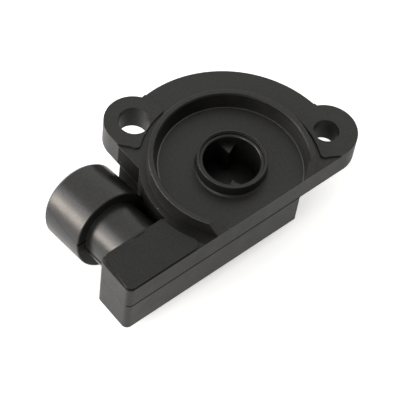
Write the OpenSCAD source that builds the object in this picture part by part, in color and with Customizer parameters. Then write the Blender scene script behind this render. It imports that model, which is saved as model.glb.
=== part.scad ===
// Throttle position sensor, mounting face up. The hub axis is Z, the straight front face
// runs along X, and the connector leaves the block at the left towards the back.

/* [Mounting flange] */
// Thickness of the flange, from the mounting face to the seam
flange_t = 5.8; // [5:0.1:7]
// Distance from the hub axis to the straight front face
front_y = 11.4; // [11.2:0.1:12]
// Radius of the flange's round back edge
back_r = 24.4; // [23:0.1:26]
// Radius of the flange's left edge
left_r = 18.6; // [18:0.1:20]
// Distance from the hub axis to each mounting hole
ear_reach = 22.2; // [21.5:0.1:24]
// Bearing of the left mounting hole, anticlockwise from the right
left_ear_angle = 114.2; // [105:0.1:120]
// Outer radius of the left ear
left_ear_r = 6.3; // [5.5:0.1:7]
// Outer radius of the right ear, whose edge runs into the front face
right_ear_r = 6.6; // [6:0.1:7]
// Radius of the left mounting hole
left_hole_r = 3.3; // [2:0.1:3.6]
// Radius of the right mounting hole
right_hole_r = 2.7; // [2:0.1:3.6]
// Height of the raised seat round each mounting hole
ear_rise = 0.4; // [0.2:0.1:0.8]
// Radius at which the seats start
seat_r = 18.8; // [18.3:0.1:19.5]
// Half the angle that each seat spans
seat_angle = 17.3; // [15:0.1:20]

/* [Locating ring] */
// Outer radius of the ring at its top
ring_r = 17; // [16.5:0.1:18]
// Height of the ring
ring_h = 3.5; // [2.5:0.1:4.5]
// Width of the ring's top
ring_top = 1; // [0.8:0.1:1.4]
// Run of the ring's sloping inner side
ring_slope = 1; // [0.4:0.1:1.2]
// Run of the ring's two sloping ends
ring_ramp = 1.8; // [0.5:0.1:3]

/* [Rotor] */
// Radius of the socket that the throttle shaft enters
socket_r = 5.9; // [5.4:0.05:6.2]
// Wall of the socket
socket_wall = 0.65; // [0.5:0.05:0.8]
// Height of the rotor's rim above the mounting face
rotor_rise = 2.3; // [1.5:0.1:2.7]
// Depth of the socket below its rim
socket_depth = 8.6; // [8:0.1:9]
// Depth of the drive tangs below the rim
tang_depth = 2.2; // [1.5:0.1:4]
// Distance from the axis to the tip of each tang
tang_tip = 3.3; // [2.4:0.1:4.2]
// Bearing of the first tang's tip
tang_angle = 57; // [40:1:80]
// Angle that each tang spans on the socket's wall
tang_span = 40; // [20:1:60]
// Radius of the rotor's disc
disc_r = 9.1; // [8.9:0.1:9.3]
// Thickness of the rotor's disc
disc_t = 1.4; // [1:0.1:1.8]
// Radius of the pivot at the rotor's foot
pivot_r = 2.5; // [2:0.1:2.8]
// Angle that the rotor travels
travel = 100; // [80:1:110]

/* [Collar] */
// Wall of the collar round the rotor
collar_wall = 0.6; // [0.5:0.05:1]
// Height of the collar
collar_h = 2.9; // [2.5:0.1:3.3]
// How much wider the collar is at its foot
collar_foot = 0.35; // [0.1:0.05:0.8]

/* [Case] */
// Height of the rear cover below the seam
cover_h = 8.2; // [7.8:0.1:9.5]
// Outer radius of the round case
cup_r = 15; // [14.8:0.1:15.4]
// Thickness of the case walls
wall = 1.6; // [1.4:0.1:2]
// Thickness of the flange over the rotor chamber
roof_t = 2.2; // [2:0.1:2.6]
// Thickness of the cover's floor
floor_t = 1.8; // [1.4:0.1:2.2]
// Distance from the hub axis to the block's left end
block_x = 34.9; // [34:0.1:38]
// Distance from the hub axis to the block's back wall
block_back = 1.85; // [1.5:0.05:2.2]
// Radius of the block's upright corners
corner_r = 1.3; // [0.8:0.1:2]
// Height of the raised pad on the block
pad_h = 0.9; // [0.4:0.1:1.5]
// Margin between the pad and the block's edges
pad_inset = 0.15; // [0.1:0.05:0.4]
// How far the cover's web stands back from the flange's left edge
web_step = 0.2; // [0.1:0.05:0.6]
// Radius that the cover's web leaves clear round the left mounting hole
web_clear_r = 6; // [5:0.1:6.6]
// Distance from the hub axis to the web's end beside the left ear
web_y = 17; // [16:0.1:18]
// Radius of the web's upright corner
web_corner = 0.6; // [0.3:0.1:1]
// Slant of the pad's left end
pad_slant = 0.6; // [0:0.1:1]
// Radius of the pad's hollow right end
pad_r = 19.65; // [19.2:0.05:20.5]

/* [Connector] */
// Distance from the hub axis to the connector's axis
connector_x = 25.5; // [25:0.1:26.5]
// Angle by which the connector points down
connector_pitch = 11.8; // [8:0.1:14]
// Distance from the block's back wall to the shroud
neck_l = 7.6; // [7:0.1:10]
// Radius of the neck
neck_r = 6.65; // [6:0.05:7]
// How much wider the neck is below its mould parting line
parting_step = 0.2; // [0.1:0.05:0.3]
// Depth of the parting line below the connector's axis
parting_drop = 1; // [0.6:0.1:1.5]
// Outer radius of the shroud
shroud_r = 8.8; // [8.5:0.1:9.2]
// Length of the shroud
shroud_l = 11.4; // [10:0.1:14]
// Wall of the shroud at its mouth
shroud_wall = 1.4; // [1:0.1:1.8]
// Thickness of the shroud's rear wall
rear_t = 1.8; // [1.4:0.1:2.5]

/* [Terminals] */
// Spacing of the three terminals
pin_pitch = 4; // [3.6:0.1:4.2]
// Width of a terminal
pin_w = 1.5; // [1.2:0.1:1.6]
// Thickness of a terminal
pin_t = 0.8; // [0.6:0.1:0.9]
// How far the terminal carrier reaches past the terminals' bend
carrier_lap = 2; // [1.2:0.1:2.4]
// How far the blades stop short of the shroud's mouth
pin_recess = 2.2; // [1.5:0.1:4]
// Width of the flat tails inside the case
lane_w = 1; // [0.8:0.1:1.2]
// Spacing of the flat tails
lane_pitch = 1.6; // [1.5:0.1:1.7]
// Thickness of the flat tails
tail_t = 0.6; // [0.5:0.1:0.8]

/* [Sensing element] */
// Thickness of the element board
board_t = 0.8; // [0.6:0.1:1]
// Thickness of the printed tracks
track_t = 0.08; // [0.05:0.01:0.12]
// Mean radius of the resistor track
resistor_mean_r = 7.7; // [7.5:0.1:7.9]
// Mean radius of the collector track
collector_mean_r = 5.6; // [5.4:0.1:5.8]
// Width of each track
track_w = 1.4; // [1.2:0.1:1.6]
// Width of the printed leads
lead_w = 0.8; // [0.6:0.1:1]
// Thickness of the stamped wiper and the contact clips
sheet_t = 0.2; // [0.15:0.05:0.3]
// Width of each wiper arm
arm_w = 1.1; // [0.9:0.1:1.3]
// Length of each wiper arm
arm_run = 4.6; // [4:0.1:5]
// Radius of the stakes that hold the wiper
stake_r = 0.45; // [0.35:0.05:0.5]

/* [Spring and seals] */
// Diameter of the return spring's wire
wire_d = 0.7; // [0.5:0.05:0.8]
// Number of turns of the return spring
spring_turns = 3; // [2:1:4]
// Diameter of the shaft seal's section
seal_d = 1.1; // [0.9:0.05:1.2]
// Thickness of the thrust washer
thrust_t = 0.5; // [0.3:0.05:0.6]
// Width of the sealing bead between the case halves
bead_w = 0.7; // [0.5:0.05:0.8]

/* [Clearances] */
// Radial running clearance of the rotor in its bearings
run_gap = 0.05; // [0.03:0.01:0.08]
// Clearance between parts that are stacked loosely
seat_gap = 0.05; // [0.03:0.01:0.1]
// Clearance round parts that sweep past each other
sweep_gap = 0.3; // [0.2:0.05:0.5]

/* [Hidden] */
$fn = 96;

plastic = [0.16, 0.16, 0.15];
far = 100;
bite = 0.5;

// Levels, from the mounting face at zero downwards
seam_z = -flange_t;
bottom_z = seam_z - cover_h;
floor_z = bottom_z + floor_t;
roof_z = -roof_t;
washer_z = roof_z - seat_gap - thrust_t;
shoulder_z = washer_z - seat_gap;
spring_pitch = wire_d + 0.15;
spring_h = spring_turns * spring_pitch + wire_d;
spring_z = shoulder_z - 0.15 - wire_d / 2;
disc_z = spring_z - spring_turns * spring_pitch - wire_d / 2 - 0.1;
plate_z = disc_z - disc_t - sheet_t;
board_z = floor_z + board_t;
track_z = board_z + track_t;

// Mounting holes
left_hole = ear_reach * [cos(left_ear_angle), sin(left_ear_angle)];
right_ear_angle = -asin((front_y - right_ear_r) / ear_reach);
right_hole = ear_reach * [cos(right_ear_angle), sin(right_ear_angle)];
left_edge_x = left_hole[0] - left_ear_r;

// Rotor and collar radii
rotor_r = socket_r + socket_wall;
collar_bore_r = rotor_r + run_gap;
collar_r = collar_bore_r + collar_wall;
shoulder_r = rotor_r + 0.45;
coil_r = shoulder_r + sweep_gap + wire_d / 2;
socket_floor_z = rotor_rise - socket_depth;
tang_z = rotor_rise - tang_depth;
foot_z = disc_z - disc_t;
hub_foot_r = 4;
boss_r = pivot_r + run_gap + 1.3;
boss_z = track_z + 1.3;
wave_h = 0.7;
hub_foot_z = boss_z + wave_h + 2 * seat_gap;
pivot_z = floor_z + sweep_gap;

// Rotor stops at the back of the chamber
chamber_r = cup_r - wall;
lug_r = disc_r + 1.9;
lug_w = 8;
rest_angle = 40;
stop_w = 8;

// Connector axis and its start on the block's back wall, level with the seam
shroud_o = [-connector_x, -block_back + neck_l * cos(connector_pitch),
    seam_z - neck_l * sin(connector_pitch)];
bend_y = 4.5;
bend_l = neck_l + (bend_y - block_back) / cos(connector_pitch);
bend_z = seam_z + (bend_y - block_back) * tan(connector_pitch);

// Flat tails of the terminals and their clips
tail_z = track_z + 1.1;
lane_end = -12.4;
clip_l = 2.2;
pad_l = 3.2;
channel_back = block_back + wall;
channel_front = front_y - wall;
lane_mid = -(channel_back + channel_front) / 2 - 0.7;
carrier_half = pin_pitch + pin_w / 2 + 1.2;
carrier_top = bend_z + pin_t / 2 + 1;
channel_top = carrier_top + seat_gap;

// Bearings of the resistor track's two ends
track_start = -128;
track_stop = 200;
collector_start = -135;
collector_stop = 200;

// Puts a shape on the connector's axis, with z along it and y pointing down.
module along_connector() {
    translate(shroud_o) rotate([-(90 + connector_pitch), 0, 0]) children();
}

// A flat sector, centred on a bearing, out to radius r.
module sector(angle, half, r = far) {
    rotate(angle) polygon([[0, 0], [r * cos(half), -r * sin(half)], [r, 0],
        [r * cos(half), r * sin(half)]]);
}

// A flat band between two radii.
module band(inner, outer) {
    difference() {
        circle(r = outer);
        circle(r = inner);
    }
}

// A flat arc of a band from one bearing to another, over less than a full turn.
module arc_band(mean, width, from, to) {
    steps = ceil((to - from) / 30);
    step = (to - from) / steps;
    intersection() {
        band(mean - width / 2, mean + width / 2);
        polygon(concat([[0, 0]], [for (i = [0:steps]) 1.2 * (mean + width) *
            [cos(from + i * step), sin(from + i * step)]]));
    }
}

// The block at the left, with two rounded corners, drawn in by a margin.
module block_outline(inset = 0) {
    r = max(corner_r - inset, 0.3);
    x = -(block_x - inset);
    y = -(front_y - inset);
    h = front_y - block_back - 2 * inset;
    translate([x + r, y]) square([-x - r, h]);
    translate([x, y + r]) square([r + bite, h - 2 * r]);
    translate([x + r, y + r]) circle(r = r, $fn = 32);
    translate([x + r, y + h - r]) circle(r = r, $fn = 32);
}

// The round case with the block, drawn in by a margin.
module case_outline(inset = 0) {
    intersection() {
        union() {
            circle(r = cup_r - inset);
            block_outline(inset);
        }
        translate([-far, -(front_y - inset)]) square([2 * far, far]);
    }
}

// The web that widens the cover to the flange's left edge, from the left ear to the block,
// drawn in by a margin. It leaves room for the screw at the left ear.
module web_outline(inset = 0) {
    low = -block_back - bite;
    left = left_edge_x + web_step + inset;
    top = web_y - inset;
    r = max(web_corner - inset, 0.2);
    difference() {
        intersection() {
            union() {
                circle(r = left_r - web_step - inset);
                translate([left, low]) square([-left, top - r - low]);
                translate([left + r, low]) square([-left - r, top - low]);
                translate([left + r, top - r]) circle(r = r, $fn = 24);
            }
            polygon([[0, low], [0, 0], 3 * left_hole, [-far, 3 * left_hole[1]], [-far, low]]);
        }
        translate(left_hole) circle(r = web_clear_r + inset);
    }
}

// The flange with its two ears.
module flange_outline() {
    intersection() {
        union() {
            circle(r = left_r);
            intersection() {
                circle(r = back_r);
                polygon([[0, 0], 2 * right_hole, far * [1, 1], 2 * left_hole]);
            }
        }
        translate([-far, -front_y]) square([2 * far, far]);
    }
    translate(left_hole) circle(r = left_ear_r);
    translate([left_edge_x, 0]) square([-left_edge_x, left_hole[1]]);
    translate(right_hole) circle(r = right_ear_r);
    translate([0, -front_y]) square([right_hole[0], front_y]);
    block_outline();
}

// The raised seat of one ear, with rounded inner corners. Each corner's circle crosses
// the edges that it joins at a slight angle.
module seat_outline(angle) {
    r = 1.2;
    mid_r = seat_r + 0.9 * r;
    turn = seat_angle - asin(r / mid_r);
    difference() {
        union() {
            difference() {
                sector(angle, turn + asin(0.9 * r / mid_r));
                circle(r = mid_r);
            }
            sector(angle, turn);
            for (side = [-1, 1]) rotate(angle + side * turn) translate([mid_r, 0]) circle(r = r, $fn = 32);
        }
        circle(r = seat_r);
    }
}

// The raised pad on the block, with a hollow right end and a slanted left end.
module pad_outline() {
    r = corner_r;
    left = -block_x + pad_inset + r;
    front = -front_y + pad_inset + r;
    back = -block_back - pad_inset;
    // The front right corner touches the front edge and the hollow end
    x = -sqrt((pad_r + r) * (pad_r + r) - front * front);
    turn = atan2(-front, -x);
    difference() {
        polygon(concat(corner([left, front], r, 180, 270), corner([x, front], r, 270, 360 + turn),
            [[-pad_r * 0.8, back]], corner([left + pad_slant, back - r], r, 90, 180)));
        circle(r = pad_r);
    }
}

// Points of a small rounded corner.
function corner(centre, r, from, to) = [for (i = [0:6]) let (a = from + (to - from) * i / 6)
    centre + r * [cos(a), sin(a)]];

// The locating ring: one sloping section turned about the hub.
module ring() {
    inner = ring_r - ring_top;
    intersection() {
        rotate_extrude($fn = 180) polygon([[inner - ring_slope, -bite], [inner - ring_slope, 0.1],
            [inner - 0.25, ring_h - 0.35], [inner, ring_h], [ring_r - 0.1, ring_h],
            [ring_r, ring_h - 0.1], [ring_r + 0.15, 0], [ring_r + 0.15, -bite]]);
        // Both ends slope down to the front face
        rotate([90, 0, 90]) linear_extrude(height = 2 * far, center = true)
            polygon([[-front_y, -bite], [-front_y, 0], [-front_y + ring_ramp, ring_h],
                [-front_y + ring_ramp, ring_h + bite], [far, ring_h + bite], [far, -bite]]);
    }
}

// The collar that carries the rotor's rim.
module collar() {
    rotate_extrude() polygon([[collar_bore_r, -bite], [collar_bore_r, collar_h - 0.3],
        [collar_bore_r + 0.2, collar_h - 0.3], [collar_bore_r + 0.2, collar_h], [collar_r - 0.1, collar_h],
        [collar_r, collar_h - 0.1], [collar_r, collar_foot], [collar_r + collar_foot, 0],
        [collar_r + collar_foot, -bite]]);
}

// The neck and the round shroud, without their sockets.
module connector_body() {
    difference() {
        along_connector() {
            translate([0, 0, -neck_l - 2]) cylinder(r = neck_r, h = neck_l + 2 + bite);
            intersection() {
                translate([0, 0, -neck_l - 2]) cylinder(r = neck_r + parting_step, h = neck_l + 2 + bite);
                translate([-far / 2, parting_drop, -far / 2]) cube([far, far, far]);
            }
        }
        translate([-far, -far - block_back, seam_z - far + 0.05]) cube([2 * far, far, far]);
        translate([-far, -far - block_back - bite, -far]) cube([2 * far, far, 2 * far]);
    }
    along_connector() rotate_extrude() polygon([[0, 0], [shroud_r - 0.2, 0], [shroud_r, 0.2],
        [shroud_r, shroud_l - 0.6], [shroud_r - 0.4, shroud_l], [0, shroud_l]]);
}

// The mating socket.
module connector_cut() {
    along_connector() difference() {
        translate([0, 0, rear_t]) rotate_extrude() polygon([[0, 0],
            [shroud_r - shroud_wall, 0], [shroud_r - shroud_wall, shroud_l - rear_t - 0.5],
            [shroud_r - shroud_wall + 0.4, shroud_l - rear_t + 0.1],
            [0, shroud_l - rear_t + 0.1]]);
        // Three keys on the socket's wall
        for (turn = [-90, 30, 150]) rotate(turn)
            translate([shroud_r - shroud_wall - 0.6, -0.7, 0]) cube([2, 1.4, shroud_l - 1.5]);
    }
}

// A blade seen flat, with a tapered tip.
module blade_outline(width, tip) {
    half = width / 2;
    polygon([[-half, -bend_l], [half, -bend_l], [half, tip - 1], [half * 0.55, tip], [-half * 0.55, tip],
        [-half, tip - 1]]);
}

// One terminal: a blade on the connector's axis, a bend down and a flat tail to its lane.
// Index -1, 0 and 1 stand for supply, signal and ground.
module terminal(index) {
    x = -connector_x + index * pin_pitch;
    lane = lane_mid + index * lane_pitch;
    tip = shroud_l - pin_recess;
    along_connector() translate([index * pin_pitch, 0, 0]) intersection() {
        rotate([90, 0, 0]) linear_extrude(height = pin_t, center = true) blade_outline(pin_w, tip);
        rotate([90, 0, 90]) linear_extrude(height = pin_w, center = true) blade_outline(pin_t, tip);
    }
    translate([x - pin_w / 2, -bend_y - pin_t / 2, tail_z]) cube([pin_w, pin_t, bend_z + pin_t / 2 - tail_z]);
    translate([0, 0, tail_z]) linear_extrude(height = tail_t) {
        translate([x - pin_w / 2, lane - lane_w / 2]) {
            square([pin_w, -bend_y + pin_t / 2 - lane + lane_w / 2]);
            square([lane_end - x + pin_w / 2, lane_w]);
        }
    }
}

module terminals() {
    for (index = [-1:1]) terminal(index);
}

// One spring clip between a terminal's tail and its pad on the board.
module clip(index) {
    lane = lane_mid + index * lane_pitch;
    h = tail_z - track_z;
    color([0.8, 0.66, 0.35]) translate([lane_end - 0.4 - clip_l, lane + lane_w / 2 - 0.1, track_z])
        rotate([90, 0, 0]) linear_extrude(height = lane_w - 0.2)
            polygon([[0, 0], [clip_l, 0], [clip_l, sheet_t], [sheet_t, sheet_t], [sheet_t, h - sheet_t],
                [clip_l - 0.4, h - sheet_t], [clip_l - 0.4, h], [0, h]]);
}

// Stops and spring anchor that hang from the roof of the rotor chamber, clear of the
// cover's wall below the seam.
module stops() {
    offset_angle = lug_w / 2 + stop_w / 2 + 0.5;
    for (angle = [rest_angle - offset_angle, rest_angle + travel + offset_angle]) {
        translate([0, 0, foot_z]) linear_extrude(height = roof_z - foot_z + bite) intersection() {
            band(disc_r + sweep_gap, chamber_r - 0.1);
            sector(angle, stop_w / 2);
        }
        translate([0, 0, seam_z + 0.1]) linear_extrude(height = roof_z - seam_z) intersection() {
            band(chamber_r - bite, chamber_r + bite);
            sector(angle, stop_w / 2);
        }
    }
}

module housing() color(plastic) difference() {
    union() {
        difference() {
            union() {
                translate([0, 0, seam_z]) linear_extrude(height = flange_t) flange_outline();
                linear_extrude(height = pad_h) pad_outline();
                // Seats of the ears
                for (angle = [left_ear_angle, right_ear_angle])
                    translate([0, 0, seam_z]) linear_extrude(height = flange_t + ear_rise) intersection() {
                        flange_outline();
                        seat_outline(angle);
                    }
            }
            // Rotor chamber
            translate([0, 0, seam_z - bite]) linear_extrude(height = roof_z - seam_z + bite) intersection() {
                circle(r = chamber_r);
                translate([-far, -channel_front]) square([2 * far, far]);
            }
            // Channel over the terminals
            translate([-block_x + wall, -channel_front, seam_z - bite])
                cube([block_x - wall, channel_front - channel_back, channel_top - seam_z + bite]);
        }
        ring();
        collar();
        connector_body();
        stops();
    }
    connector_cut();
    terminals();
    hole_h = flange_t + ear_rise + 2 * bite;
    translate([0, 0, seam_z - bite]) {
        translate(left_hole) cylinder(r = left_hole_r, h = hole_h);
        translate(right_hole) cylinder(r = right_hole_r, h = hole_h);
    }
    // Bearing for the rotor's rim, with a groove for the shaft seal
    translate([0, 0, roof_z - bite]) cylinder(r = collar_bore_r, h = roof_t + collar_h + 2 * bite);
    translate([0, 0, roof_z + 0.4]) cylinder(r = rotor_r + seal_d + 0.15, h = seal_d + 0.1);
}

module rear_cover() color(plastic) difference() {
    union() {
        difference() {
            union() {
                translate([0, 0, bottom_z]) linear_extrude(height = cover_h) case_outline();
                // The web makes way for the shroud
                difference() {
                    translate([0, 0, bottom_z]) linear_extrude(height = cover_h) web_outline();
                    along_connector() translate([0, 0, -seat_gap * 4])
                        cylinder(r = shroud_r + seat_gap * 4, h = far);
                }
            }
            // Pocket in the web
            translate([0, 0, floor_z]) linear_extrude(height = cover_h) difference() {
                web_outline(wall);
                circle(r = cup_r);
                translate([-far, -far - block_back + wall / 2]) square([2 * far, far]);
            }
            translate([0, 0, floor_z]) linear_extrude(height = cover_h) intersection() {
                circle(r = chamber_r);
                translate([-far, -channel_front]) square([2 * far, far]);
            }
            translate([-block_x + wall, -channel_front, floor_z])
                cube([block_x - wall, channel_front - channel_back, cover_h]);
        }
        translate([0, 0, floor_z - bite]) cylinder(r = boss_r, h = boss_z - floor_z + bite);
    }
    translate([0, 0, floor_z - 0.2]) cylinder(r = pivot_r + run_gap, h = cover_h);
    translate([0, 0, seam_z - bead_w]) linear_extrude(height = bead_w + bite) bead_outline();
    terminals();
}

// The sealing bead's path round the middle of the case wall.
module bead_outline() {
    difference() {
        case_outline((wall - bead_w) / 2);
        case_outline((wall + bead_w) / 2);
    }
}

module cover_seal() color([0.25, 0.25, 0.27]) difference() {
    translate([0, 0, seam_z - bead_w]) linear_extrude(height = bead_w) bead_outline();
    terminals();
}

module rotor() color([0.22, 0.22, 0.21]) {
    rotate_extrude() polygon([[0, socket_floor_z], [socket_r, socket_floor_z],
        [socket_r, rotor_rise - 0.2], [socket_r + 0.15, rotor_rise], [rotor_r, rotor_rise],
        [rotor_r, shoulder_z], [shoulder_r, shoulder_z], [shoulder_r, disc_z], [disc_r, disc_z],
        [disc_r, foot_z], [hub_foot_r, foot_z], [hub_foot_r, hub_foot_z], [pivot_r, hub_foot_z],
        [pivot_r, pivot_z], [0, pivot_z]]);
    // Drive tangs, opposite each other, and the index rib over the second
    tang_h = tang_z - socket_floor_z + bite;
    for (turn = [0, 180]) translate([0, 0, socket_floor_z - bite]) intersection() {
        cylinder(r = socket_r + bite / 2, h = tang_h);
        rotate(tang_angle + turn) linear_extrude(height = tang_h)
            polygon([[tang_tip, 0], 1.2 * socket_r * [cos(tang_span / 2), -sin(tang_span / 2)],
                1.2 * socket_r * [cos(tang_span / 2), sin(tang_span / 2)]]);
    }
    rotate(tang_angle + 182) translate([socket_r - 0.3, -0.6, tang_z]) cube([0.5, 1.2, tang_depth - 0.1]);
    // Stop lug and the lug that carries the spring's lower leg
    translate([0, 0, foot_z]) linear_extrude(height = disc_t) intersection() {
        band(disc_r - bite, lug_r);
        sector(rest_angle, lug_w / 2);
    }
    translate([0, 0, disc_z - bite]) linear_extrude(height = wire_d + 0.3 + bite) intersection() {
        band(coil_r + wire_d / 2 + 0.2, disc_r);
        sector(spring_foot_angle - leg_half - 0.8 - 6, 6);
    }
    // Stakes that hold the wiper
    for (angle = wiper_stakes) rotate(angle) translate([wiper_mid_r, 0, plate_z - 0.2])
        cylinder(r = stake_r, h = sheet_t + 0.2 + bite, $fn = 24);
}

module shaft_seal() color([0.1, 0.1, 0.1]) translate([0, 0, roof_z + 0.45 + seal_d / 2])
    rotate_extrude() translate([rotor_r + 0.1 + seal_d / 2, 0]) circle(r = seal_d / 2, $fn = 24);

module thrust_washer() color([0.85, 0.83, 0.75]) translate([0, 0, washer_z])
    linear_extrude(height = thrust_t) band(rotor_r + 0.15, disc_r - 0.4);

// A ring of spring steel with three waves, swept as one closed strip.
module wave_washer() {
    inner = pivot_r + 0.2;
    outer = boss_r - 0.1;
    t = 0.2;
    swing = (wave_h - t) / 2;
    steps = 60;
    mid = boss_z + seat_gap + wave_h / 2;
    points = [for (i = [0:steps - 1]) let (a = 360 * i / steps, z = mid + swing * sin(3 * a))
        for (q = [[inner, -t / 2], [outer, -t / 2], [outer, t / 2], [inner, t / 2]])
            [q[0] * cos(a), q[0] * sin(a), z + q[1]]];
    faces = [for (i = [0:steps - 1]) for (k = [0:3]) let (n = (i + 1) % steps, m = (k + 1) % 4)
        [4 * i + k, 4 * i + m, 4 * n + m, 4 * n + k]];
    color([0.7, 0.7, 0.72]) polyhedron(points = points, faces = faces, convexity = 4);
}

// Return spring: a coil between the shoulder and the disc with two radial legs.
spring_sides = 8;
spring_steps = 24;
// Angle that half the wire spans where its leg passes the stop
leg_half = asin(wire_d / 2 / (disc_r + sweep_gap));
spring_top_angle = rest_angle - lug_w / 2 - stop_w - 0.5 - leg_half - 0.8;
spring_foot_angle = spring_top_angle + 180;
leg_r = disc_r - 0.1;
spring_count = round(spring_steps * (spring_turns + 0.5));

// One ring of points round the wire at bearing a and radius r, turned by side s: 0 on the
// coil, 1 and -1 on the mitres, 2 and -2 at the ends of the legs.
function wire_ring(a, r, z, s) = let (u = abs(s) == 2 ? 0 : 1, v = sign(s))
    [for (k = [0:spring_sides - 1]) let (b = 360 * k / spring_sides, w = wire_d / 2 * cos(b))
        [r * cos(a) + w * (u * cos(a) - v * sin(a)), r * sin(a) + w * (u * sin(a) + v * cos(a)),
            z + wire_d / 2 * sin(b)]];

module return_spring() {
    low = spring_z - spring_pitch * spring_turns;
    a0 = spring_top_angle;
    a1 = spring_foot_angle;
    points = concat(wire_ring(a0, chamber_r - 0.6, spring_z, 2), wire_ring(a0, coil_r, spring_z, 1),
        [for (i = [1:spring_count - 1]) each wire_ring(a0 + 360 * i / spring_steps, coil_r,
            spring_z + (low - spring_z) * i / spring_count, 0)],
        wire_ring(a1, coil_r, low, -1), wire_ring(a1, leg_r, low, -2));
    n = spring_sides;
    last = (spring_count + 2) * n;
    faces = concat([for (k = [1:n - 2]) [0, k + 1, k]], [for (k = [1:n - 2]) [last, last + k, last + k + 1]],
        [for (i = [0:spring_count + 1]) for (k = [0:n - 1]) let (m = (k + 1) % n)
            each [[n * i + k, n * (i + 1) + m, n * (i + 1) + k], [n * i + k, n * i + m, n * (i + 1) + m]]]);
    color([0.72, 0.72, 0.74]) polyhedron(points = points, faces = faces, convexity = 8);
}

// The stamped wiper under the rotor's disc, with an arm over each track.
wiper_angle = rest_angle + 30;
wiper_half = 36;
wiper_mid_r = (resistor_mean_r + collector_mean_r) / 2;
wiper_stakes = [wiper_angle - 28.5, wiper_angle + 28.5];
arm_drop = plate_z - track_z - 0.3 - seat_gap;

// The window that an arm leaves, and the arm, at one radius
module arm_window(mean) {
    rotate(wiper_angle) translate([mean - arm_w / 2 - 0.15, -arm_run / 2]) square([arm_w + 0.3, arm_run]);
}

module arm(mean) {
    t = sheet_t;
    rotate(wiper_angle) translate([mean + arm_w / 2, arm_run / 2, plate_z])
        rotate([90, 0, -90]) linear_extrude(height = arm_w)
            polygon([[-0.3, 0], [0.2, 0], [arm_run - 1, -arm_drop], [arm_run - 0.1, -arm_drop],
                [arm_run - 0.1, -arm_drop + t], [arm_run - 1.1, -arm_drop + t], [0.1, t], [-0.3, t]]);
}

module wiper() color([0.78, 0.62, 0.4]) {
    translate([0, 0, plate_z]) linear_extrude(height = sheet_t) difference() {
        intersection() {
            band(boss_r + 0.5, disc_r - 0.2);
            sector(wiper_angle, wiper_half);
        }
        arm_window(resistor_mean_r);
        arm_window(collector_mean_r);
        for (angle = wiper_stakes) rotate(angle) translate([wiper_mid_r, 0])
            circle(r = stake_r + run_gap, $fn = 24);
    }
    arm(resistor_mean_r);
    arm(collector_mean_r);
}

// A comb under an arm's end, whose three fine fingers rub on a track.
module brush(mean) {
    h = plate_z - arm_drop - track_z - seat_gap;
    start = [mean + arm_w / 2, -arm_run / 2 + 1, track_z + seat_gap];
    rotate(wiper_angle) translate(start) rotate([90, 0, -90]) {
        translate([0, h - 0.12, 0]) linear_extrude(height = arm_w) square([0.9, 0.12]);
        for (k = [-1:1]) translate([0, 0, arm_w / 2 + k * 0.35 - 0.1]) linear_extrude(height = 0.2)
            polygon([[0.9, h], [0.9, h - 0.14], [0.7, 0], [0.5, 0], [0.6, h - 0.14], [0.6, h]]);
    }
}

module resistor_brush() color([0.85, 0.75, 0.5]) brush(resistor_mean_r);

module collector_brush() color([0.85, 0.75, 0.5]) brush(collector_mean_r);

module element_board() color([0.45, 0.3, 0.16]) translate([0, 0, floor_z]) linear_extrude(height = board_t)
    difference() {
        intersection() {
            union() {
                circle(r = resistor_mean_r + track_w / 2 + 1);
                translate([lane_end - pad_l - 0.6, lane_mid - lane_pitch - lane_w])
                    square([-lane_end + pad_l, 2 * lane_pitch + 2 * lane_w]);
            }
            translate([-far, -channel_front + 0.1]) square([2 * far, far]);
        }
        circle(r = boss_r + 0.1);
    }

module resistor_track() color([0.08, 0.08, 0.08]) translate([0, 0, board_z])
    linear_extrude(height = track_t) arc_band(resistor_mean_r, track_w, track_start, track_stop);

module collector_track() color([0.12, 0.12, 0.12]) translate([0, 0, board_z])
    linear_extrude(height = track_t) arc_band(collector_mean_r, track_w, collector_start, collector_stop);

// A straight conductor between two points on the board.
module conductor(from, to, width) {
    step = to - from;
    translate(from) rotate(atan2(step[1], step[0])) translate([0, -width / 2]) square([norm(step), width]);
}

function on_circle(r, angle) = r * [cos(angle), sin(angle)];

// One printed lead from a track to the pad under its clip.
module lead(index) {
    lane = lane_mid + index * lane_pitch;
    target = [on_circle(resistor_mean_r, track_start), on_circle(collector_mean_r, -144),
        on_circle(resistor_mean_r, track_stop)][index + 1];
    color([0.75, 0.76, 0.78]) translate([0, 0, board_z]) linear_extrude(height = track_t) difference() {
        union() {
            translate([lane_end - pad_l, lane - lane_w / 2]) square([pad_l, lane_w]);
            conductor([lane_end - lane_w / 2, lane], target, lead_w);
        }
        arc_band(resistor_mean_r, track_w, track_start, track_stop);
        arc_band(collector_mean_r, track_w, collector_start, collector_stop);
    }
}

module lead_supply() lead(-1);

module lead_signal() lead(0);

module lead_ground() lead(1);

module terminal_carrier() color([0.2, 0.28, 0.24]) difference() {
    translate([-connector_x - carrier_half, -bend_y - carrier_lap, tail_z + tail_t + 0.2])
        cube([2 * carrier_half, bend_y + carrier_lap - channel_back, carrier_top - tail_z - tail_t - 0.2]);
    terminals();
}

module terminal_supply() color([0.8, 0.8, 0.78]) terminal(-1);

module terminal_signal() color([0.8, 0.8, 0.78]) terminal(0);

module terminal_ground() color([0.8, 0.8, 0.78]) terminal(1);

module clip_supply() clip(-1);

module clip_signal() clip(0);

module clip_ground() clip(1);

housing();
rear_cover();
cover_seal();
rotor();
shaft_seal();
thrust_washer();
wave_washer();
return_spring();
wiper();
resistor_brush();
collector_brush();
element_board();
resistor_track();
collector_track();
lead_supply();
lead_signal();
lead_ground();
terminal_carrier();
terminal_supply();
terminal_signal();
terminal_ground();
clip_supply();
clip_signal();
clip_ground();
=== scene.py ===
import math

import bpy
from mathutils import Matrix, Vector


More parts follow.
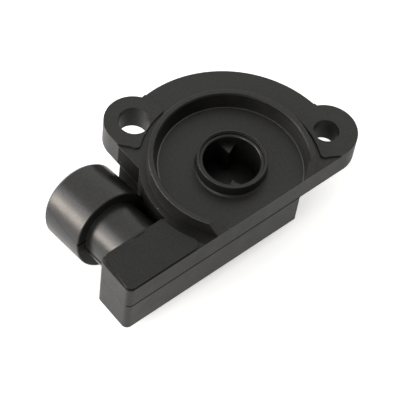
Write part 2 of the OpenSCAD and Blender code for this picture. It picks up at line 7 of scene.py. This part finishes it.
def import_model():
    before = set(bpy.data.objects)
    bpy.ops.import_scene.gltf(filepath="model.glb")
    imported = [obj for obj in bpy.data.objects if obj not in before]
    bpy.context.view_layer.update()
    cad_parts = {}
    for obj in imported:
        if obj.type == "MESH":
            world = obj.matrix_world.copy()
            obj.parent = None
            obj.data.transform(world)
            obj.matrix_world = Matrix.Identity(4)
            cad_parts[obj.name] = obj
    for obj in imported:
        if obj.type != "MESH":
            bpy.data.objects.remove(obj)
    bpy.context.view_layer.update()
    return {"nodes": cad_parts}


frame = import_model()
nodes = frame["nodes"]

MM = 0.001

# Places on the case that bound its regions, in millimetres from the hub axis and from the
# flange's face. The rest of this script is in metres, but for beyond() and before().
FRONT_Y, BLOCK_Y, BLOCK_LEFT_X, PAD_X, NECK_X = -11.4, -1.85, -34.9, -13.4, -16.4
# Radii of the collar, the hub's floor, the ring's inner and outer side, the hub's round side
# and the hollow right end of the pad
COLLAR_R, HUB_FLOOR_R, RING_INNER_R, RING_R, HUB_R, PAD_R = 9.25, 15.0, 16.0, 17.0, 18.6, 19.65
# Height of the pad's face above the flange's
PAD_H = 0.9

# Height of the seam between the case halves, and half the width of its dark line
SEAM_Z, SEAM_HALF = -5.8 * MM, 0.3 * MM
# The connector's axis starts on the block's back wall, level with the seam, and points down
PITCH = math.radians(11.8)
AXIS_Y, AXIS_Z = BLOCK_Y * MM, SEAM_Z
# Depth of the mould parting line below that axis, and half the line's width
PARTING_DROP, PARTING_HALF = 1.0 * MM, 0.09 * MM

# Colours of the case and its dust, and its roughness on the flange and on the connector
CASE_DARK, CASE_LIGHT = (0.0068, 0.0068, 0.0060), (0.0098, 0.0098, 0.0086)
DUST = (0.2, 0.2, 0.19)
MATT, GLOSS = 0.43, 0.31
# Specular level of the case, and how much higher it is on the connector
SHINE, CONNECTOR_SHINE = 0.465, 0.06
# Factor on that level in single regions, see case_regions(): painted light on the ledge, a
# painted highlight on the fillet line, painted shade on the shroud's rear face, the collar and
# the ring's slope, and the pad's face darker
REGION_SHINE = {
    "pad": 0.78, "ledge": 1.6, "rear": 0.5, "collar": 0.5, "fillet_highlight": 3.0, "ring_slope": 0.5,
}
# Painted shade: factors on that level in the valley beside the pad, on the wall in the shroud's
# painted shadow, and in narrow places at their deepest
VALLEY_SHINE, SHROUD_SHADOW_SHINE, CREVICE_SHINE = 0.45, 0.05, 0.35
# The same on the front face, painted light and shade along it: at its left, how much it rises to
# the middle and falls at the right
FRONT_SHINE, FRONT_RISE, FRONT_FALL = 0.76, 0.12, -0.26
# The same on the pad's sides, painted shade: at the back, and what the front side has less
PAD_SIDE_SHINE, PAD_FRONT_LESS = 0.5, -0.36
# The same on the hub's walls, painted light and shade by facing: the base, the gain by facing
# back or right, and its limits
HUB_SHINE, HUB_BACK_GAIN, HUB_RIGHT_GAIN, HUB_LEAST, HUB_MOST = 1.1, 0.95, 0.9, 0.15, 2.0

# Scale of the mottling, the grain and the uneven gloss, in cells per metre
MOTTLE, GRAIN, SPECKLE = 260.0, 9000.0, 2200.0
# The span in which most of a noise value lies
NOISE_LOW, NOISE_HIGH = 0.3, 0.7
GRAIN_DEPTH, GROOVE_DEPTH, METAL_GRAIN_DEPTH = 0.02 * MM, 0.06 * MM, 0.004 * MM
# Radius of the rounded edges, and the share of it that the ring's and the pad's edges have
CASE_EDGE, PLASTIC_EDGE, ROTOR_EDGE = 0.12 * MM, 0.1 * MM, 0.05 * MM
RING_EDGE_SHARE, PAD_EDGE_SHARE = 0.12, 0.25
# How far crevice() looks for other surfaces when it paints shade in narrow places
CREVICE_REACH = 6 * MM


# ---- Materials, built from nodes over the object's own coordinates

def new_material(name):
    """A material with its node tree and its main shader."""
    material = bpy.data.materials.new(name)
    material.use_nodes = True
    tree = material.node_tree
    shader = tree.nodes["Principled BSDF"]
    return material, tree, shader


def add(tree, kind, **settings):
    """A new node with these settings."""
    node = tree.nodes.new(kind)
    for key, value in settings.items():
        setattr(node, key, value)
    return node


def noise(tree, scale, detail=4.0, roughness=0.5):
    """Noise over the object's own coordinates, with its scale in cells per metre."""
    coordinates = add(tree, "ShaderNodeTexCoord")
    texture = add(tree, "ShaderNodeTexNoise")
    texture.inputs["Scale"].default_value = scale
    texture.inputs["Detail"].default_value = detail
    texture.inputs["Roughness"].default_value = roughness
    tree.links.new(coordinates.outputs["Object"], texture.inputs["Vector"])
    return texture.outputs["Fac"]


def ramp(tree, source, low, high, first, second):
    """Maps low to high of a value onto two colours."""
    node = add(tree, "ShaderNodeValToRGB")
    node.color_ramp.elements[0].position = low
    node.color_ramp.elements[1].position = high
    node.color_ramp.elements[0].color = (*first, 1)
    node.color_ramp.elements[1].color = (*second, 1)
    tree.links.new(source, node.inputs["Fac"])
    return node.outputs["Color"]


def remap(tree, source, low, high):
    """Maps the usual span of a noise value onto low to high."""
    node = add(tree, "ShaderNodeMapRange")
    node.inputs["From Min"].default_value = NOISE_LOW
    node.inputs["From Max"].default_value = NOISE_HIGH
    node.inputs["To Min"].default_value = low
    node.inputs["To Max"].default_value = high
    tree.links.new(source, node.inputs["Value"])
    return node.outputs["Result"]


def math_node(tree, operation, first, second=None, third=None):
    """One arithmetic step on sockets or numbers."""
    node = add(tree, "ShaderNodeMath", operation=operation)
    for k, value in enumerate((first, second, third)):
        if value is None:
            continue
        if isinstance(value, (int, float)):
            node.inputs[k].default_value = value
        else:
            tree.links.new(value, node.inputs[k])
    return node.outputs[0]


def soft_step(tree, source, start, stop):
    """0 below start, 1 above stop, smooth between."""
    node = add(tree, "ShaderNodeMapRange", interpolation_type="SMOOTHSTEP")
    node.inputs["From Min"].default_value = start
    node.inputs["From Max"].default_value = stop
    tree.links.new(source, node.inputs["Value"])
    return node.outputs["Result"]


def inverse(tree, source):
    """1 where the mask is 0, and 0 where it is 1."""
    return math_node(tree, "SUBTRACT", 1.0, source)


def beyond(tree, source, limit, blur):
    """1 past the limit and 0 before it, with a blur on both sides, in millimetres."""
    return soft_step(tree, source, (limit - blur) * MM, (limit + blur) * MM)


def before(tree, source, limit, blur):
    """1 before the limit and 0 past it, with a blur on both sides, in millimetres."""
    return inverse(tree, beyond(tree, source, limit, blur))


def product(tree, first, *others):
    """All of these multiplied, sockets or numbers."""
    for other in others:
        first = math_node(tree, "MULTIPLY", first, other)
    return first


def faded(tree, source, mask, factor):
    """Multiplies a value by factor, a number or a socket, where mask is 1."""
    change = math_node(tree, "MULTIPLY", mask, math_node(tree, "SUBTRACT", factor, 1.0))
    return math_node(tree, "MULTIPLY", source, math_node(tree, "ADD", change, 1.0))


def split(tree, kind):
    """The three parts of one of the texture coordinates."""
    parts = add(tree, "ShaderNodeSeparateXYZ")
    tree.links.new(add(tree, "ShaderNodeTexCoord").outputs[kind], parts.inputs["Vector"])
    return parts.outputs


def place(tree):
    """The object's own coordinates and the distance from the hub axis, in metres."""
    x, y, z = split(tree, "Object")
    reach = math_node(tree, "SQRT", math_node(tree, "ADD", product(tree, x, x),
                                              product(tree, y, y)))
    return x, y, z, reach


def rounded(tree, radius):
    """Normals that round off each edge. The radius is a number or a socket."""
    node = add(tree, "ShaderNodeBevel", samples=6)
    if isinstance(radius, float):
        node.inputs["Radius"].default_value = radius
    else:
        tree.links.new(radius, node.inputs["Radius"])
    return node.outputs["Normal"]


def dust(tree):
    """Sparse specks, 1 on a speck."""
    cells = add(tree, "ShaderNodeTexVoronoi")
    cells.inputs["Scale"].default_value = 330.0
    tree.links.new(add(tree, "ShaderNodeTexCoord").outputs["Object"], cells.inputs["Vector"])
    kind = add(tree, "ShaderNodeSeparateXYZ")
    tree.links.new(cells.outputs["Color"], kind.inputs["Vector"])
    chosen = soft_step(tree, kind.outputs["X"], 0.7, 0.75)
    return product(tree, inverse(tree, soft_step(tree, cells.outputs["Distance"], 0.02, 0.05)),
                   chosen)


def crevice(tree, deepest, free=0.5):
    """1 in the open, falling to deepest where other surfaces stand close around: a painted
    shade.
    """
    node = add(tree, "ShaderNodeAmbientOcclusion", samples=6)
    node.inputs["Distance"].default_value = CREVICE_REACH
    span = add(tree, "ShaderNodeMapRange")
    span.inputs["From Min"].default_value = 0.2
    span.inputs["From Max"].default_value = free
    span.inputs["To Min"].default_value = deepest
    span.inputs["To Max"].default_value = 1.0
    tree.links.new(node.outputs["AO"], span.inputs["Value"])
    return span.outputs["Result"]


def bump(tree, shader, source, distance, below=None):
    """Relief of the given height, over the normals below."""
    node = add(tree, "ShaderNodeBump")
    node.inputs["Distance"].default_value = distance
    tree.links.new(source, node.inputs["Height"])
    if below is not None:
        tree.links.new(below, node.inputs["Normal"])
    tree.links.new(node.outputs["Normal"], shader.inputs["Normal"])
    return node.outputs["Normal"]


def moulded_plastic(name, dark, light, rough, crevice_shade=None, edge=PLASTIC_EDGE):
    """Moulded plastic with a fine grain, slight flow marks and uneven gloss.

    Given a share, its gloss falls to that share in narrow places, a painted shade.
    """
    material, tree, shader = new_material(name)
    large = noise(tree, MOTTLE, 3.0)
    fine = noise(tree, GRAIN, 2.0, 0.6)
    tree.links.new(ramp(tree, large, 0.32, 0.68, dark, light), shader.inputs["Base Color"])
    tree.links.new(remap(tree, large, rough - 0.05, rough + 0.05), shader.inputs["Roughness"])
    bump(tree, shader, fine, GRAIN_DEPTH, below=rounded(tree, edge))
    if crevice_shade is not None:
        tree.links.new(math_node(tree, "MULTIPLY", crevice(tree, crevice_shade, 0.85), 0.5),
                       shader.inputs["Specular IOR Level"])
    return material


def metal(name, dark, light, rough):
    """Rolled or drawn metal with a faint grain."""
    material, tree, shader = new_material(name)
    large = noise(tree, 900.0, 4.0, 0.6)
    fine = noise(tree, 12000.0, 2.0)
    shader.inputs["Metallic"].default_value = 1.0
    tree.links.new(ramp(tree, large, 0.3, 0.7, dark, light), shader.inputs["Base Color"])
    tree.links.new(remap(tree, large, rough - 0.06, rough + 0.06), shader.inputs["Roughness"])
    bump(tree, shader, fine, METAL_GRAIN_DEPTH)
    return material


def case_regions(tree):
    """Masks over the case, 1 inside each region."""
    x, y, z, reach = place(tree)
    to_right, to_back, up = split(tree, "Normal")
    to_left = math_node(tree, "MULTIPLY", to_right, -1.0)
    to_front = math_node(tree, "MULTIPLY", to_back, -1.0)
    # The steps below that read a normal go by its part along one axis, from 0 to 1
    tilt = math_node(tree, "ABSOLUTE", up)
    level = soft_step(tree, tilt, 0.5, 0.95)
    upright = inverse(tree, level)
    steep = inverse(tree, soft_step(tree, tilt, 0.3, 0.42))
    front = soft_step(tree, to_front, 0.1, 0.6)
    from_seam = math_node(tree, "ABSOLUTE", math_node(tree, "SUBTRACT", z, SEAM_Z))
    near_seam = inverse(tree, soft_step(tree, from_seam, 0.5 * SEAM_HALF, SEAM_HALF))
    # Neck and shroud
    connector = product(tree, before(tree, x, NECK_X, 0.2), beyond(tree, y, BLOCK_Y + 0.05, 0.1),
                        beyond(tree, reach, HUB_R + 0.2, 0.1))
    pad = product(tree, before(tree, x, PAD_X, 0.1), before(tree, y, BLOCK_Y, 0.05),
                  beyond(tree, reach, PAD_R - 0.1, 0.05), beyond(tree, z, 0.01, 0.01))
    ring_edge = product(tree, beyond(tree, reach, RING_INNER_R - 0.35, 0.05),
                        before(tree, reach, RING_INNER_R + 0.35, 0.05),
                        beyond(tree, z, 0.05, 0.05))
    return {
        "connector": connector,
        "front": front,
        "near_seam": near_seam,
        # The joint shows mostly at the front
        "seam": product(tree, near_seam, upright,
                        math_node(tree, "MULTIPLY_ADD", front, 0.8, 0.2)),
        "upper_front": product(tree, front, upright,
                               soft_step(tree, z, SEAM_Z, SEAM_Z + 0.2 * MM)),
        "right_of_block": beyond(tree, x, -6, 14),
        "far_right": beyond(tree, x, 17, 7),
        "pad": pad,
        "pad_side": product(tree, pad, upright, before(tree, z, PAD_H - 0.1, 0.1)),
        # The narrow level strip beside the pad's left end, given painted light
        "ledge": product(tree, level, before(tree, z, 0.035, 0.015),
                         before(tree, x, BLOCK_LEFT_X + 0.85, 0.05)),
        # The shroud's rear face, given painted shade
        "rear": product(tree, connector, soft_step(tree, to_front, 0.7, 0.9)),
        # The walls of the ring and the collar that look at the hub's floor, with painted light
        # and shade by the way they face
        "hub_walls": product(tree, before(tree, reach, RING_R + 0.2, 0.1), steep,
                             beyond(tree, y, FRONT_Y + 0.1, 0.05)),
        # A painted highlight along the foot of the ring's inner wall, where a fillet would catch
        # the light
        "fillet_highlight": product(tree, level, beyond(tree, reach, HUB_FLOOR_R - 0.225, 0.075),
                          before(tree, reach, HUB_FLOOR_R + 0.025, 0.025)),
        # The collar's walls that face left, given painted shade
        "collar": product(tree, upright, before(tree, reach, COLLAR_R, 0.25),
                          soft_step(tree, to_left, 0.05, 0.4)),
        "ring_edge": ring_edge,
        # The ring's inner edge where it faces left, given painted shade
        "ring_slope": product(tree, ring_edge, soft_step(tree, to_left, 0.05, 0.3)),
        # Between the pad's hollow end and the ring, given painted shade
        "valley": product(tree, beyond(tree, reach, RING_R, 0.1),
                          before(tree, reach, PAD_R - 0.1, 0.05),
                          before(tree, x, -6, 2), before(tree, y, -3.5, 2.5),
                          beyond(tree, z, -0.05, 0.05)),
        # The wall under the flange that stands behind the shroud, in the shroud's painted shadow
        "shroud_shadow": product(tree, upright, beyond(tree, y, 3, 1), before(tree, y, 17.25, 0.25),
                             before(tree, x, -11.5, 0.5), beyond(tree, x, -17.55, 0.05),
                             before(tree, z, -0.15, 0.05)),
    }


def hub_walls_shine(tree):
    """Factor for the hub's walls: low where they face the front, high where they face right, as
    painted shade and painted light.
    """
    to_right, to_back = split(tree, "Normal")[:2]
    right_part = math_node(tree, "MAXIMUM", to_right, 0.0)
    gain = math_node(tree, "MULTIPLY_ADD", right_part, HUB_RIGHT_GAIN, HUB_SHINE)
    gain = math_node(tree, "MULTIPLY_ADD", to_back, HUB_BACK_GAIN, gain)
    return math_node(tree, "MAXIMUM", math_node(tree, "MINIMUM", gain, HUB_MOST), HUB_LEAST)


def case_shine(tree, region):
    """Specular level of the case, region by region, with painted light and shade in single
    regions.
    """
    shine = math_node(tree, "MULTIPLY_ADD", region["connector"], CONNECTOR_SHINE, SHINE)
    # Painted light and shade along the front face
    rising = math_node(tree, "MULTIPLY_ADD", region["right_of_block"], FRONT_RISE, FRONT_SHINE)
    along_front = math_node(tree, "MULTIPLY_ADD", region["far_right"], FRONT_FALL, rising)
    shine = faded(tree, shine, region["upper_front"], along_front)
    # Painted shade on the pad's sides, deeper on the front side
    pad_side = math_node(tree, "MULTIPLY_ADD", region["front"], PAD_FRONT_LESS, PAD_SIDE_SHINE)
    shine = faded(tree, shine, region["pad_side"], pad_side)
    # Painted light and shade on the hub's walls by the way they face
    shine = faded(tree, shine, region["hub_walls"], hub_walls_shine(tree))
    # Painted light and shade region by region, see REGION_SHINE
    for name, factor in REGION_SHINE.items():
        shine = faded(tree, shine, region[name], factor)
    shine = product(tree, shine, remap(tree, noise(tree, SPECKLE, 3.0), 0.86, 1.14))
    # Painted shade in the valley beside the pad
    shine = faded(tree, shine, region["valley"], VALLEY_SHINE)
    # The joint is dark, but behind the shroud, on the wall with the shroud's painted shadow, its
    # edge has a painted highlight
    shine = faded(tree, shine, region["shroud_shadow"],
                  math_node(tree, "ADD", region["near_seam"], SHROUD_SHADOW_SHINE))
    shine = faded(tree, shine, region["seam"], region["shroud_shadow"])
    # Painted shade: the gloss falls in narrow places
    return product(tree, shine, crevice(tree, CREVICE_SHINE))


def parting_groove(tree, connector):
    """Mould parting line along the neck and the shroud, as a height."""
    y, z = split(tree, "Object")[1:]
    fall = math_node(tree, "MULTIPLY", math_node(tree, "SUBTRACT", AXIS_Z, z), math.cos(PITCH))
    run = math_node(tree, "MULTIPLY", math_node(tree, "SUBTRACT", y, AXIS_Y), math.sin(PITCH))
    below_axis = math_node(tree, "SUBTRACT", fall, run)
    off = math_node(tree, "ABSOLUTE", math_node(tree, "SUBTRACT", below_axis, PARTING_DROP))
    line = product(tree, soft_step(tree, off, 0.0, PARTING_HALF), connector)
    return math_node(tree, "ADD", line, inverse(tree, connector))


def case_plastic():
    """Black moulded plastic, finely eroded on the flange and smoother on the connector."""
    material, tree, shader = new_material("case plastic")
    region = case_regions(tree)
    connector = region["connector"]
    large = noise(tree, MOTTLE, 3.0)
    tree.links.new(case_shine(tree, region), shader.inputs["Specular IOR Level"])

    dusty = add(tree, "ShaderNodeMix", data_type="RGBA")
    tree.links.new(product(tree, dust(tree), inverse(tree, connector)), dusty.inputs["Factor"])
    tree.links.new(ramp(tree, large, 0.32, 0.68, CASE_DARK, CASE_LIGHT), dusty.inputs["A"])
    dusty.inputs["B"].default_value = (*DUST, 1)
    tree.links.new(dusty.outputs["Result"], shader.inputs["Base Color"])

    rough = add(tree, "ShaderNodeMix")
    tree.links.new(connector, rough.inputs["Factor"])
    tree.links.new(remap(tree, large, MATT - 0.04, MATT + 0.04), rough.inputs["A"])
    tree.links.new(remap(tree, large, GLOSS - 0.03, GLOSS + 0.03), rough.inputs["B"])
    tree.links.new(rough.outputs["Result"], shader.inputs["Roughness"])

    edge = faded(tree, CASE_EDGE, region["ring_edge"], RING_EDGE_SHARE)
    edge = faded(tree, edge, region["pad"], PAD_EDGE_SHARE)
    relief = bump(tree, shader, parting_groove(tree, connector), GROOVE_DEPTH,
                  below=rounded(tree, edge))
    grain = faded(tree, noise(tree, GRAIN, 2.0, 0.6), connector, 0.15)
    bump(tree, shader, grain, GRAIN_DEPTH, below=relief)
    return material


case = case_plastic()
# The rotor's gloss falls in narrow places, a painted shade
rotor_plastic = moulded_plastic("rotor plastic", (0.004, 0.004, 0.0037), (0.0065, 0.0065, 0.006),
                                0.34, crevice_shade=0.05, edge=ROTOR_EDGE)
rubber = moulded_plastic("seal rubber", (0.012, 0.012, 0.012), (0.02, 0.02, 0.02), 0.6)
sealant = moulded_plastic("bead sealant", (0.03, 0.03, 0.033), (0.045, 0.045, 0.05), 0.55)
nylon = moulded_plastic("washer plastic", (0.55, 0.52, 0.43), (0.65, 0.62, 0.53), 0.4)
carrier = moulded_plastic("carrier plastic", (0.03, 0.05, 0.042), (0.045, 0.07, 0.058), 0.4)
laminate = moulded_plastic("board laminate", (0.12, 0.06, 0.022), (0.18, 0.09, 0.035), 0.35)
ink = moulded_plastic("track ink", (0.012, 0.012, 0.012), (0.02, 0.02, 0.02), 0.3)
steel = metal("spring steel", (0.42, 0.42, 0.43), (0.6, 0.6, 0.61), 0.3)
bronze = metal("wiper bronze", (0.5, 0.31, 0.14), (0.68, 0.45, 0.22), 0.3)
gilt = metal("brush metal", (0.62, 0.48, 0.22), (0.8, 0.64, 0.34), 0.25)
silver = metal("lead silver", (0.58, 0.58, 0.58), (0.75, 0.75, 0.75), 0.35)
tin = metal("terminal tin", (0.5, 0.5, 0.48), (0.72, 0.72, 0.7), 0.28)

LOOKS = {
    "housing": case, "rear_cover": case, "cover_seal": sealant, "rotor": rotor_plastic,
    "shaft_seal": rubber, "thrust_washer": nylon, "wave_washer": steel, "return_spring": steel,
    "wiper": bronze, "resistor_brush": gilt, "collector_brush": gilt,
    "element_board": laminate, "resistor_track": ink, "collector_track": ink,
    "lead_supply": silver, "lead_signal": silver, "lead_ground": silver,
    "terminal_carrier": carrier, "terminal_supply": tin, "terminal_signal": tin,
    "terminal_ground": tin, "clip_supply": bronze, "clip_signal": bronze, "clip_ground": bronze,
}

for name, material in LOOKS.items():
    piece = nodes[name]
    piece.data.materials.clear()
    piece.data.materials.append(material)


# ---- Camera, floor and light

# The photograph's viewpoint, fitted to the outlines seen in it
RIGHT = Vector((0.77268, -0.62890, 0.08632))
DOWN = Vector((-0.48872, -0.67613, -0.55136))
FORWARD = Vector((0.40511, 0.38384, -0.82979))
CAMERA_PLACE = Vector((-153.56, -138.42, 293.65)) * MM

camera_data = bpy.data.cameras.new("camera")
camera_data.sensor_width = 36
camera_data.lens = 159.65
camera_data.clip_start = 0.01
camera_data.clip_end = 20
camera = bpy.data.objects.new("camera", camera_data)
bpy.context.scene.collection.objects.link(camera)
turn = Matrix((RIGHT, -DOWN, -FORWARD)).transposed().to_4x4()
camera.matrix_world = Matrix.Translation(CAMERA_PLACE) @ turn
bpy.context.scene.camera = camera

FLOOR_Z = -18.6 * MM
# Added brightness of the floor to the camera, that of its reflection at the right, and how
# much the latter rises to the left
FLOOR_LIFT, GLOW_RIGHT, GLOW_RISE = 0.44, 0.05, 0.3
LIGHT_DISTANCE = 0.9


def ray_kinds(tree):
    """1 for camera rays, and 1 for glossy and transmission rays."""
    rays = add(tree, "ShaderNodeLightPath").outputs
    return rays["Is Camera Ray"], math_node(tree, "MAXIMUM", rays["Is Glossy Ray"],
                                            rays["Is Transmission Ray"])


def white_floor():
    """White to the camera, pale in reflections, and keeps the object's soft shadow."""
    material, tree, shader = new_material("floor")
    grain = noise(tree, 40.0, 2.0)
    colour = ramp(tree, grain, 0.3, 0.7, (0.94, 0.94, 0.94), (0.95, 0.95, 0.95))
    tree.links.new(colour, shader.inputs["Base Color"])
    shader.inputs["Roughness"].default_value = 0.9
    shader.inputs["Specular IOR Level"].default_value = 0.0
    shader.inputs["Emission Color"].default_value = (1, 1, 1, 1)
    # Its reflection is brighter at the back left, a painted glow that only reflections see
    x, y = split(tree, "Object")[:2]
    side = math_node(tree, "SUBTRACT", math_node(tree, "MULTIPLY", y, 0.9),
                     math_node(tree, "MULTIPLY", x, 0.44))
    glow = math_node(tree, "MULTIPLY_ADD", beyond(tree, side, 10, 20), GLOW_RISE, GLOW_RIGHT)
    seen, mirrored = ray_kinds(tree)
    tree.links.new(math_node(tree, "ADD", math_node(tree, "MULTIPLY", seen, FLOOR_LIFT),
                             product(tree, mirrored, glow)), shader.inputs["Emission Strength"])
    return material


bpy.ops.mesh.primitive_plane_add(size=6, location=(0, 0, FLOOR_Z))
floor = bpy.context.object
floor.name = "floor"
floor.data.materials.append(white_floor())


def area_light(name, azimuth, elevation, width, height, power, colour):
    """A softbox that faces the object. Azimuth is anticlockwise from +X."""
    data = bpy.data.lights.new(name, "AREA")
    data.shape = "RECTANGLE"
    data.size = width
    data.size_y = height
    data.energy = power
    data.color = colour
    light = bpy.data.objects.new(name, data)
    bpy.context.scene.collection.objects.link(light)
    a, e = math.radians(azimuth), math.radians(elevation)
    spot = Vector((math.cos(a) * math.cos(e), math.sin(a) * math.cos(e), math.sin(e)))
    light.location = spot * LIGHT_DISTANCE
    light.rotation_euler = (-spot).to_track_quat("-Z", "Y").to_euler()


area_light("back left softbox", 140, 8, 0.46, 0.3, 5.1, (1.0, 0.91, 0.82))
area_light("upper back left softbox", 142, 30, 0.5, 0.25, 1.6, (0.95, 0.93, 1.0))
area_light("left softbox", 190, 30, 0.5, 0.4, 3.0, (1.0, 0.98, 0.96))

# Brightness of the room behind and in front of the object, and how much more reflections show
ROOM, ROOM_FRONT, REFLECTED = 0.9, 0.3, 1.08

world = bpy.data.worlds.new("world")
bpy.context.scene.world = world
world.use_nodes = True
tree = world.node_tree
background = tree.nodes["Background"]
# The room is dim on the viewer's side and bright behind the object
to_back = split(tree, "Generated")["Y"]
room = math_node(tree, "MULTIPLY_ADD", soft_step(tree, to_back, -0.8, -0.05),
                 ROOM - ROOM_FRONT, ROOM_FRONT)
# Reflections show the backdrop nearly white, and the camera sees it white
seen, mirrored = ray_kinds(tree)
tint = add(tree, "ShaderNodeMix", data_type="RGBA")
tree.links.new(seen, tint.inputs["Factor"])
tint.inputs["A"].default_value = (1.0, 0.995, 0.96, 1)
tint.inputs["B"].default_value = (1, 1, 1, 1)
tree.links.new(tint.outputs["Result"], background.inputs["Color"])
room = faded(tree, room, mirrored, REFLECTED)
tree.links.new(math_node(tree, "MAXIMUM", room, seen), background.inputs["Strength"])

bpy.context.scene.view_settings.view_transform = "Standard"
